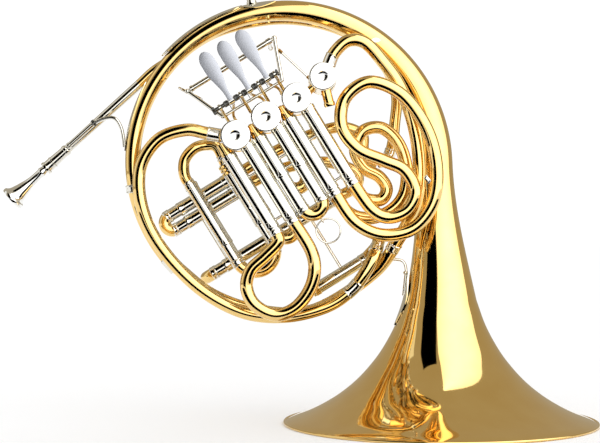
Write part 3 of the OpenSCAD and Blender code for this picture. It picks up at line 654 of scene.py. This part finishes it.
def build_valves():
    names = ("valve_cap_1", "valve_cap_2", "valve_cap_3", "change_valve_cap")
    for i in range(4):
        r = 14.3 if i < 3 else 13.0
        prof = [(0, r - 1.1), (0.6, r - 1.0), (0.8, r - 0.25), (1.1, r), (3.7, r), (4.2, r - 0.35),
                (4.4, r - 0.9), (4.4, r - 1.7), (4.22, r - 1.8), (4.22, r - 2.05), (4.4, r - 2.15),
                (4.4, 6.6), (4.2, 6.45), (4.2, 6.2), (4.4, 6.05), (4.4, 5.3)]
        prof += [(4.4 - 1.7 * math.sin(math.pi / 2 * k / 8), 5.0 * math.cos(math.pi / 2 * k / 8))
                 for k in range(1, 9)]
        lathe(f"valve_cap_{i + 1}_turned", valve_at(i, -56), -Y, prof, CAP, replaces=(names[i],), sides=96)
        # bands at both ends of the casing
        bands = []
        for y0, y1, out in ((-55.9, -53.6, 0.55), (-2.4, -0.1, 0.55)):
            bands.append(ring_shell(valve_at(i, y0), Y, 12.8, 13 + out, y1 - y0))
        join(f"valve_bands_{i + 1}", bands, NICKEL if i == 3 else GOLD)

    stubs, collars = [], []
    for i in range(3):
        for u in LEGS:
            for y in (F_Y, B_Y):
                v0 = 10.9 if u > 0 else -1
                stubs.append(ring_shell(row(VALVE_U[i] + u, v0, y), V, 4.7, 5.4, 15.4 - v0 - 0.4))
                collars.append(ring_shell(row(VALVE_U[i] + u, 11.7 if u > 0 else 9, y), V, 5.0, 6.3, 2.4))
    for i in (1, 2):
        stubs.append(turned(row(VALVE_U[i - 1] + 11.7, 0, B_Y), U, [(0, 4), (10.6, 4)], 32))
        collars.append(ring_shell(row(VALVE_U[i - 1] + 15.4, 0, B_Y), U, 3.9, 4.7, 3.2))
    a, b = row(VALVE_U[2] + 11.7, -1.5, B_Y), row(VALVE_U[3] - 11.7, -2.8, B_Y)
    stubs.append(turned(a, b - a, [(0, 4), ((b - a).length / MM, 4)], 32))
    a, b = mm(-113.8, F_Y, 325.4), mm(-109.5, F_Y, 308.7)
    stubs.append(turned(a, b - a, [(0, 4.8), (13, 4.8), (13.4, 5.4), (16, 5.4),
                                   ((b - a).length / MM, 4.8)], 32))
    join("valve_tube_stubs", stubs, GOLD, replaces=("valve_knuckles",))
    join("valve_tube_collars", collars, GOLD)


def ring_shell(origin, axis, r_in, r_out, length, edge=0.3, sides=48):
    """A short hollow band round an axis."""
    axis = axis.normalized()
    s = axis.orthogonal().normalized()
    q = axis.cross(s)
    prof = [(0, r_in), (0, r_out - edge), (edge, r_out), (length - edge, r_out), (length, r_out - edge),
            (length, r_in)]
    rings = [[origin + axis * h * MM + r * MM * (math.cos(a) * s + math.sin(a) * q)
              for a in (2 * math.pi * k / sides for k in range(sides))] for h, r in prof]
    return skin(rings, loop=True)


# ---------------------------------------------------------------- slides
def build_slides():
    for level, y, ends, node in (("f", F_Y, (94, 57, 92), "f_slide_sleeves"),
                                 ("b_flat", B_Y, (78, 46, 82), "b_flat_slide_sleeves")):
        shells = [sleeve_shell(row(VALVE_U[i] + u, 12, y), V, ends[i] - 12, 6.8, 6.36, collar=4)
                  for i in range(3) for u in LEGS]
        join(f"{level}_slide_outer_tubes", shells, NICKEL, replaces=(node,))
    tuning = [sleeve_shell(row(u, 14, MAIN_Y), V, 70, 6.8, 6.36, collar=4) for u in (-64, -24)]
    tuning += [sleeve_shell(row(-32, v, REAR_Y), -U, 56, 6.8, 6.36, collar=4) for v in (29, 44)]
    tuning += [sleeve_shell(row(50, 101, y), -U, 128, 6.8, 6.36, collar=4) for y in (REAR_Y, REAR_Y + 20)]
    join("tuning_slide_outer_tubes", tuning, NICKEL, replaces=("tuning_slide_sleeves",))

    def split(body, path, joint_a, joint_b, collar, wall=0.45):
        """Nickel legs up to two spots on the path, a gold bow between them, and a collar at each."""
        n = len(path) - 1
        ia = min(range(n // 2), key=lambda i: (path[i] - joint_a).length)
        ib = n // 2 + min(range(n - n // 2), key=lambda i: (path[n // 2 + i] - joint_b).length)
        tube(f"{body}_leg_a", path[:ia + 1], SLIDE_R, NICKEL, body)
        tube(f"{body}_leg_b", path[ib:], SLIDE_R, NICKEL, body)
        tube(f"{body}_bow", path[ia:ib + 1], SLIDE_R, GOLD, body, replaces=(body,))
        for side, at in (("a", joint_a), ("b", joint_b)):
            ferrule(f"{body}_collar_{side}", path, share(path, at), collar, SLIDE_R / MM, NICKEL, body, wall)

    def leg(u, vs, y):
        return [row(u, v, y) for v in vs]

    f1 = through(leg(-16, (22, 60, 93, 99), F_Y) + [row(u, v, F_Y) for u, v in (
        (-19, 108), (-37, 113), (-55, 117), (-67, 129), (-69, 147), (-58, 165), (-39, 170), (-18, 163),
        (-3, 149), (4, 130), (4, 99))] + leg(4, (93, 60, 22), F_Y))
    split("f_slide_1", f1, row(-16, 98, F_Y), row(4, 98, F_Y), collar=6)
    f2 = u_path(18, 38, 22, 94, F_Y)
    split("f_slide_2", f2, row(18, 91, F_Y), row(38, 91, F_Y), collar=5)
    f3 = through(leg(52, (22, 60, 91, 98), F_Y) + [row(u, v, F_Y) for u, v in (
        (54, 130), (70, 154), (98, 164), (127, 153), (148, 126), (159, 90), (156, 50), (136, 23), (108, 24),
        (91, 45), (93, 72), (108, 94), (120, 112), (119, 134), (103, 146), (84, 143), (74, 128), (72, 98))]
        + leg(72, (91, 60, 22), F_Y))
    split("f_slide_3", f3, row(52, 96, F_Y), row(72, 96, F_Y), collar=6)
    b1 = u_path(-16, 4, 22, 100, B_Y)
    split("b_flat_slide_1", b1, row(-16, 97, B_Y), row(4, 97, B_Y), collar=5)
    b2 = u_path(18, 38, 22, 64, B_Y)
    split("b_flat_slide_2", b2, row(18, 62, B_Y), row(38, 62, B_Y), collar=4, wall=0.1)
    coil = ((54, 118), (68, 134), (90, 139), (110, 132), (125, 112), (131, 87), (125, 66), (108, 59),
            (92, 70), (90, 90), (98, 105), (98, 119), (88, 125), (76, 117), (72, 104), (72, 88))
    b3 = through(leg(52, (22, 50, 81, 88), B_Y) + [row(u, v, B_Y) for u, v in coil]
                 + leg(72, (81, 50, 22), B_Y))
    split("b_flat_slide_3", b3, row(52, 86, B_Y), row(72, 86, B_Y), collar=5)
    main = u_path(-64, -24, 26, 104, MAIN_Y)
    split("main_tuning_slide", main, row(-64, 101, MAIN_Y), row(-24, 101, MAIN_Y), collar=7)

    def rear(u0, u1, a, b):
        """The same U, lying along the row instead of down it."""
        mid, r = (a + b) / 2, (b - a) / 2
        arc = [row(u1 - r.length / MM * math.sin(math.pi * k / 24), 0, 0)
               + mid - r * math.cos(math.pi * k / 24) for k in range(25)]
        half = (u0 + u1) / 2
        return [row(u0, 0) + a, row(half, 0) + a] + arc + [row(half, 0) + b, row(u0, 0) + b]

    va, vb = V * 29 * MM + Y * REAR_Y * MM, V * 44 * MM + Y * REAR_Y * MM
    bt = rear(-40, -100, va, vb)
    split("b_flat_tuning_slide", bt, row(-94, 29, REAR_Y), row(-94, 44, REAR_Y), collar=5)
    wa = V * 101 * MM + Y * REAR_Y * MM
    ft = rear(30, -90, wa, wa + Y * 20 * MM)
    split("f_tuning_slide", ft, row(-86, 101, REAR_Y), row(-86, 101, REAR_Y + 20), collar=5)

    # diamond stay across the third slide's loop, where its two runs pass each other
    at = row(134, 131, F_Y - 5.2)
    diamond = []
    for k in range(4):
        for n in range(6):
            p, q = math.radians(90 * k), math.radians(90 * (k + 1))
            c = math.cos(p) + (math.cos(q) - math.cos(p)) * n / 6
            d = math.sin(p) + (math.sin(q) - math.sin(p)) * n / 6
            diamond.append(at + (U * (c - d * 0.6) * 2.6 + V * (d + c * 0.6) * 4.6) * MM)
    join("third_loop_stay", [slab(diamond, -Y, 1.6, 0.5, 0.6)], NICKEL, "f_slide_3")

    # eyelet and pull ring of the second slide
    def hoop(centre, axis, big, small, sides=64, section=16):
        s = axis.orthogonal().normalized()
        q = axis.cross(s)
        rings = []
        for k in range(sides):
            a = 2 * math.pi * k / sides
            out = math.cos(a) * s + math.sin(a) * q
            rings.append([centre + out * big * MM + small * MM * (math.cos(b) * out + math.sin(b) * axis)
                          for b in (2 * math.pi * n / section for n in range(section))])
        return skin(rings, loop=True)

    eye = row(28, 112, F_Y)
    join("pull_ring_eyelet", [hoop(eye, U, 2.1, 0.7, 32, 12),
                              turned(row(28, 109.4, F_Y), -V, [(0, 1.4), (1, 1.7), (2, 2.6)], 24)],
         NICKEL, "f_slide_2")
    join("pull_ring_wire", [hoop(row(28, 123.6, F_Y), Y, 11.6, 0.8)], NICKEL, "pull_ring", ("pull_ring",))
    # knurled collar where the second main leg meets its sleeve
    knurl = []
    for v in (15, 18.6, 22.2):
        knurl.append(turned(row(-24, v, MAIN_Y), V, [(0, 7.2), (0.5, 7.9), (2.6, 7.9), (3.1, 7.2)], 64, 0.3))
    join("main_sleeve_knurl", knurl, GOLD)

    # small stays between the sleeves, one plate at each pair's lower end
    plates = []
    for i in range(3):
        v = (88, 51, 86)[i]
        plates.append(pipe([row(VALVE_U[i] - 9.2, v, F_Y), row(VALVE_U[i] - 2.8, v, F_Y)], 1.3))
        plates.append(pipe([row(VALVE_U[i] - 9.2, 40, F_Y), row(VALVE_U[i] - 2.8, 40, F_Y)], 1.3))
    for i in (0, 1):
        v = 34 + 8 * i
        plates.append(pipe([row(VALVE_U[i] + 10.8, v, F_Y + 1), row(VALVE_U[i + 1] - 22.8, v, F_Y + 1)], 1.5))
    for i in range(3):
        for u in LEGS:
            plates.append(pipe([row(VALVE_U[i] + u, 32, F_Y + 6.6), row(VALVE_U[i] + u, 32, B_Y - 6.6)], 1.4))
    join("slide_stays", plates, NICKEL)


def build_rear_crooks():
    a = through([row(-64, 18, MAIN_Y), row(-64, 4, MAIN_Y), row(-56, -9, MAIN_Y), row(-42, -14, MAIN_Y),
                 row(-30, -11, 4), row(-22, -3, 2), row(-24, 16, MAIN_Y)])
    b = through([row(-26, 29, REAR_Y), row(-8, 29, REAR_Y), row(20, 29, REAR_Y), row(60, 33, REAR_Y),
                 row(92, 42, REAR_Y), mm(-77, REAR_Y, 286), mm(-75, REAR_Y, 272), mm(-71, REAR_Y, 261),
                 mm(-61, REAR_Y, 257)])
    c = through([row(-30, 44, REAR_Y), row(-6, 44, REAR_Y), row(30, 50, REAR_Y), row(64, 66, REAR_Y),
                 row(82, 88, REAR_Y), row(76, 101, REAR_Y), row(54, 101, REAR_Y)])
    tube("main_crook", a, 5.6 * MM, GOLD)
    tube("rear_crook_upper", b, 5.8 * MM, GOLD, replaces=("rear_crook",))
    tube("rear_crook_lower", c, 5.8 * MM, GOLD)
    d = [row(47, 168, REAR_Y), row(16, 168, REAR_Y), row(-16, 168, REAR_Y)]
    tube("rear_crook_low_tube", d, SLIDE_R, NICKEL)
    ferrule("rear_low_collar_a", d, 0.06, 7, 6.3, NICKEL)
    ferrule("rear_low_collar_b", d, 0.93, 6, 6.3, GOLD)
    cap = turned(row(-16, 168, REAR_Y), -U, [(0, 6.3), (0.6, 6.2), (1.6, 5), (2.2, 3)], 32)
    join("rear_low_cap", [cap], GOLD)
    ring_collar("main_crook_collar_a", a, row(-64, 13, MAIN_Y), 5, 5.65, NICKEL)
    ring_collar("main_crook_collar_b", a, row(-24.2, 8, MAIN_Y), 5, 5.65, NICKEL)
    ring_collar("rear_crook_collar_b", b, row(-24, 29, REAR_Y), 5, 5.85, NICKEL)
    ring_collar("rear_crook_collar_c", c, row(-26, 44, REAR_Y), 5, 5.85, NICKEL)
    ring_collar("rear_crook_collar_d", c, row(58, 101, REAR_Y), 6, 5.85, NICKEL)


# ---------------------------------------------------------------- levers
HINGE_V, HINGE_Y = -30, -58
LEVER_U = (13.8, 33.8, 53.8)
ARM_U = (7.6, 41.6, 60.4)
ARM_Y = 9


def smooth(t):
    t = min(1.0, max(0.0, t))
    return t * t * (3 - 2 * t)


def build_levers():
    for i in range(3):
        u, body = LEVER_U[i], f"finger_lever_{i + 1}"
        rings = []
        steps = 44
        for k in range(steps + 1):
            t = 0.8 * k / 24 if k < 24 else 0.8 + 0.2 * math.sin(math.pi / 2 * (k - 24) / (steps - 24))
            half = 2.5 + (7.3 - 2.5) * smooth((t - 0.12) / 0.55)
            if t > 0.8:
                half *= math.sqrt(max(0.0, 1 - ((t - 0.8) / 0.2) ** 2))
            half = max(half, 0.12)
            e = min(0.35, half * 0.4)
            section = [(-half, 0.8), (-half, e), (-half + e * 0.3, e * 0.3), (-half + e, 0), (half - e, 0),
                       (half - e * 0.3, e * 0.3), (half, e), (half, 1.6 - e), (half - e, 1.6),
                       (-half + e, 1.6), (-half, 1.6 - e)]
            rings.append([row(u + x, HINGE_V - 53 * t, HINGE_Y - 4.2 + d) for x, d in section])
        pad = skin(rings, closed_ends=True)
        barrel = ring_shell(row(u - 2.8, HINGE_V, HINGE_Y), U, 2.1, 3.4, 5.6, 0.3)
        route = [row(u, HINGE_V, HINGE_Y + 3.1), row(u, HINGE_V, -20), row(u, HINGE_V, ARM_Y - 9),
                 row(ARM_U[i], HINGE_V + 8, ARM_Y), row(ARM_U[i], -8, ARM_Y), row(ARM_U[i], 6, ARM_Y)]
        arm = [pipe(bend(route, 3.5), 1.4)]
        for v in (-16, 4):
            arm.append(turned(row(ARM_U[i], v, ARM_Y - 1.5), Y, [(0, 1.5), (0.3, 1.8), (2.2, 1.8), (2.5, 1.1),
                                                                 (3.0, 1.1), (3.2, 1.9), (3.9, 1.6)], 24))
        # the pad wears the darkened nickel, its grey a painted reflection
        join(f"{body}_pad", [pad], PAD_GREY_REFLECTION, body, (body,), 50)
        join(f"{body}_barrel", [barrel], NICKEL, body)
        join(f"{body}_arm", arm, RAW, body)

    springs = []
    for u in LEVER_U:
        for s in (-1, 1):
            coil = []
            for k in range(6 * 20 + 1):
                a = 2 * math.pi * k / 20
                coil.append(row(u + s * 5.6 - 2.1 + 4.2 * k / 120, HINGE_V, HINGE_Y)
                            + (V * math.cos(a) + Y * math.sin(a)) * 2.72 * MM)
            springs.append(pipe(coil, 0.36, 8))
            springs.append(pipe([coil[-1], coil[-1] + (V * 4.2 + Y * 2.0) * MM], 0.36, 8))
    join("lever_coil_springs", springs, STEEL, replaces=("lever_springs",))

    hinge = [turned(row(-6, HINGE_V, HINGE_Y), U, [(0, 2), (71, 2)], 24),
             turned(row(-7, HINGE_V, HINGE_Y), U, [(0, 3.2), (0.5, 3.9), (2.9, 3.9), (3.4, 3.3)], 48, 0.35),
             turned(row(64, HINGE_V, HINGE_Y), U, [(0, 3.0), (0.4, 3.4), (1.6, 3.4), (2, 2.9)], 40, 0.25)]
    join("lever_hinge_pin", hinge, STEEL, replaces=("lever_hinge_rod",))
    posts = []
    for u in (1.2, 24, 44, 62):
        posts.append(pipe([row(u, HINGE_V + 1.8, HINGE_Y + 1.8), row(u, -12.2, HINGE_Y + 18)], 1.6))
        posts.append(ring_shell(row(u - 1.2, HINGE_V, HINGE_Y), U, 2.02, 3.2, 2.4, 0.3))
    rail = [row(-2, HINGE_V + 8.3, HINGE_Y + 9), row(66, HINGE_V + 8.3, HINGE_Y + 9)]
    posts.append(turned(rail[0], U, [(0, 1.1), (0.4, 1.5), (67.6, 1.5), (68, 1.1)], 24))
    join("lever_posts", posts, NICKEL, replaces=("lever_bridge",))


def bend(points, r, n=5):
    """A route with its corners rounded off; r in millimetres."""
    out = [points[0]]
    for a, b, c in zip(points, points[1:], points[2:]):
        d0, d1 = (a - b), (c - b)
        k = min(r * MM, d0.length * 0.45, d1.length * 0.45)
        p, q = b + d0.normalized() * k, b + d1.normalized() * k
        for j in range(n + 1):
            t = j / n
            out.append((1 - t) ** 2 * p + 2 * t * (1 - t) * b + t * t * q)
    out.append(points[-1])
    return out


def build_thumb():
    body = "thumb_lever"
    tv, ty = -62, -32
    barrel = [ring_shell(row(-14, tv, ty), U, 1.7, 2.6, 91, 0.3, 32),
              ring_shell(row(-14, tv, ty), U, 1.7, 3.1, 3, 0.3, 32),
              ring_shell(row(72, tv, ty), U, 1.7, 3.1, 5, 0.3, 32)]
    neck = pipe([row(-10, tv, ty + 2.1), row(-17, tv - 0.5, 1)], 1.6)
    crank = pipe([row(74.5, tv, ty + 2.1), row(74.5, tv + 2, 13)], 1.6)
    join("thumb_barrel", [*barrel, neck, crank], NICKEL, body, (body,))
    join("thumb_crank_ball", [ball(row(74.5, tv + 2, 14), 2.4)], NICKEL, body)
    # oval thumb plate, seen edge on from the front
    a = math.radians(58)
    lengthways = U * math.cos(a) + V * math.sin(a)
    across = -U * math.sin(a) + V * math.cos(a)
    start = row(-24, tv - 12, 6) - across * MM
    oval = []
    for k in range(48):
        t = 2 * math.pi * k / 48
        c, s = math.cos(t), math.sin(t)
        oval.append(start + lengthways * (13.5 + 13.4 * math.copysign(abs(c) ** 0.75, c)) * MM
                    + Y * (11.9 * math.copysign(abs(s) ** 0.75, s)) * MM)
    join("thumb_plate", [slab(oval, across, 2.0, 0.5)], CAP, body)
    rods = [turned(row(-19, tv, ty), U, [(0, 1.2), (0.4, 1.6), (100.6, 1.6), (101, 1.2)], 24),
            pipe([row(-17.6, tv, ty), row(-1, HINGE_V + 8.3, HINGE_Y + 9)], 1.8),
            pipe([row(80.6, tv, ty), row(65, HINGE_V + 8.3, HINGE_Y + 9)], 1.8),
            ball(row(-17.6, tv, ty), 2.6), ball(row(80.6, tv, ty), 2.6)]
    join("thumb_hinge_pin", rods, NICKEL, replaces=("thumb_hinge_rod",))
    top, foot = row(79.1, tv + 2, 15.6), row(93.4, -9, 15.6)
    join("change_link_rod", [pipe([top, foot], 1.2)], NICKEL, "change_link", ("change_link",))
    way = (foot - top).normalized()
    nut = [(0, 1.5), (0.4, 1.9), (4.6, 1.9), (5, 1.5)]
    nuts = [turned(at, way, nut, 6) for at in (top + way * 5 * MM, foot - way * 9 * MM)]
    join("change_link_nuts", nuts, RAW, "change_link")


# ---------------------------------------------------------------- carried-over nodes
def dress():
    """Each CAD node gets its finish."""
    by_slot = {v: k for k, v in SLOTS.items() if k is not PAD_GREY_REFLECTION}
    for entry in frame["record"]["subparts"]:
        node = frame["nodes"][entry["node"]]
        node.data.materials.clear()
        node.data.materials.append(by_slot[entry["material_slot"]])


build_bell()
build_ring_fittings()
build_branches()
build_mouthpiece()
build_lead_brace()
build_valves()
build_slides()
build_rear_crooks()
build_levers()
build_thumb()
dress()

# ---------------------------------------------------------------- stage, light and camera


def glowing(name, verts, faces, strength, levels=None, tint=(1, 0.99, 0.96, 1)):
    """A panel of the studio that only reflections see."""
    mesh = bpy.data.meshes.new(name)
    mesh.from_pydata(verts, [], faces)
    o = bpy.data.objects.new(name, mesh)
    bpy.context.scene.collection.objects.link(o)
    m = bpy.data.materials.new(name)
    m.use_nodes = True
    m.node_tree.nodes.clear()
    glow = m.node_tree.nodes.new("ShaderNodeEmission")
    glow.inputs["Color"].default_value = tint
    glow.inputs["Strength"].default_value = strength
    out = m.node_tree.nodes.new("ShaderNodeOutputMaterial")
    m.node_tree.links.new(glow.outputs[0], out.inputs["Surface"])
    if levels:
        store = mesh.attributes.new("level", "FLOAT", "POINT")
        store.data.foreach_set("value", levels)
        read = m.node_tree.nodes.new("ShaderNodeAttribute")
        read.attribute_name = "level"
        m.node_tree.links.new(read.outputs["Fac"], glow.inputs["Strength"])
    mesh.materials.append(m)
    o.visible_camera = False
    o.visible_shadow = False
    o.visible_diffuse = False
    o.visible_transmission = False
    return o


def soft_patch(name, left, right, distance, strength):
    """A broad light on a sphere round the object, between two azimuths, rounded off towards its top."""
    verts, faces, levels = [], [], []
    rows, columns = 24, 28
    bottom, height = -4, 88
    round_from, round_over = 34, 50.5
    for i in range(rows + 1):
        up = bottom + height * i / rows
        narrow = math.sqrt(max(0.0, 1 - (max(0.0, up - round_from) / round_over) ** 2))
        for k in range(columns + 1):
            mid, half = (left + right) / 2, (right - left) / 2
            a = math.radians(mid + half * narrow * (2 * k / columns - 1))
            e = math.radians(up)
            verts.append((-0.05 + distance * math.cos(e) * math.sin(a), -distance * math.cos(e) * math.cos(a),
                          0.18 + distance * math.sin(e)))
            levels.append(strength * (0.42 + 0.58 * math.sin(math.pi * (0.08 + 0.84 * k / columns)) ** 0.8))
    w = columns + 1
    for i in range(rows):
        faces += [(i * w + k, i * w + k + 1, (i + 1) * w + k + 1, (i + 1) * w + k) for k in range(columns)]
    glowing(name, verts, faces, strength, levels)


def dome(name, r, strength, tint):
    """An even glow all round, as from the walls of a room."""
    verts, faces = [], []
    rows, columns = 12, 24
    for i in range(rows + 1):
        a = math.pi * i / rows
        for k in range(columns):
            b = 2 * math.pi * k / columns
            verts.append((r * math.sin(a) * math.cos(b), r * math.sin(a) * math.sin(b), r * math.cos(a)))
    for i in range(rows):
        for k in range(columns):
            n = (k + 1) % columns
            faces.append((i * columns + k, i * columns + n, (i + 1) * columns + n, (i + 1) * columns + k))
    glowing(name, verts, faces, strength, tint=tint)


def studio():
    world = bpy.data.worlds.new("studio")
    bpy.context.scene.world = world
    world.use_nodes = True
    background = world.node_tree.nodes["Background"]
    background.inputs["Color"].default_value = (1, 1, 1, 1)
    background.inputs["Strength"].default_value = 1.06
    bpy.context.scene.view_settings.view_transform = "Standard"

    floor = bpy.data.meshes.new("floor")
    half = 12
    floor.from_pydata([(-half, -half, 0), (half, -half, 0), (half, half, 0), (-half, half, 0)], [],
                      [(0, 1, 2, 3)])
    plate = bpy.data.objects.new("floor", floor)
    bpy.context.scene.collection.objects.link(plate)
    m, _, shader = nodes_of("pale_floor")
    shader.inputs["Base Color"].default_value = (0.97, 0.97, 0.97, 1)
    shader.inputs["Roughness"].default_value = 1.0
    shader.inputs["Specular IOR Level"].default_value = 0.0
    floor.materials.append(m)

    # The metal sees a dim room with one broad soft light to the right of the camera, a tall dark
    # gap to its left and a dark strip low in front. The camera sees none of them.
    dome("room", 6.0, 0.41, (1, 0.88, 0.66, 1))

    def around(name, azimuths, distance, low, high, strength, steps=10):
        """A curved panel between two azimuths, in degrees from the front and growing to the right."""
        pts = []
        for k in range(steps + 1):
            a = math.radians(azimuths[0] + (azimuths[1] - azimuths[0]) * k / steps)
            for z in (low, high):
                pts.append((math.sin(a) * distance - 0.12, -math.cos(a) * distance, z))
        faces = [(2 * k, 2 * k + 2, 2 * k + 3, 2 * k + 1) for k in range(steps)]
        glowing(name, pts, faces, strength)

    soft_patch("soft_light", -13, 96, 1.9, 2.5)
    around("dark_gap", (-56, -13), 1.95, -0.1, 5.0, 0.0)
    around("side_light", (-104, -74), 1.9, 0.2, 2.6, 0.9)
    low = ((-1.1, -0.95), (0.9, -0.95), (0.9, -0.17), (-1.1, -0.17))
    glowing("dark_low", [(x, y, 0.003) for x, y in low], [(0, 1, 2, 3)], 0.0)


CAMERA_AT = Vector((-0.1382, -1.56, 0.1988))


def camera():
    data = bpy.data.cameras.new("camera")
    o = bpy.data.objects.new("camera", data)
    bpy.context.scene.collection.objects.link(o)
    data.sensor_width = 36
    data.lens = 95.0
    data.clip_start = 0.05
    o.location = CAMERA_AT
    o.rotation_euler = (math.radians(90), 0, 0)
    bpy.context.scene.camera = o


studio()
camera()
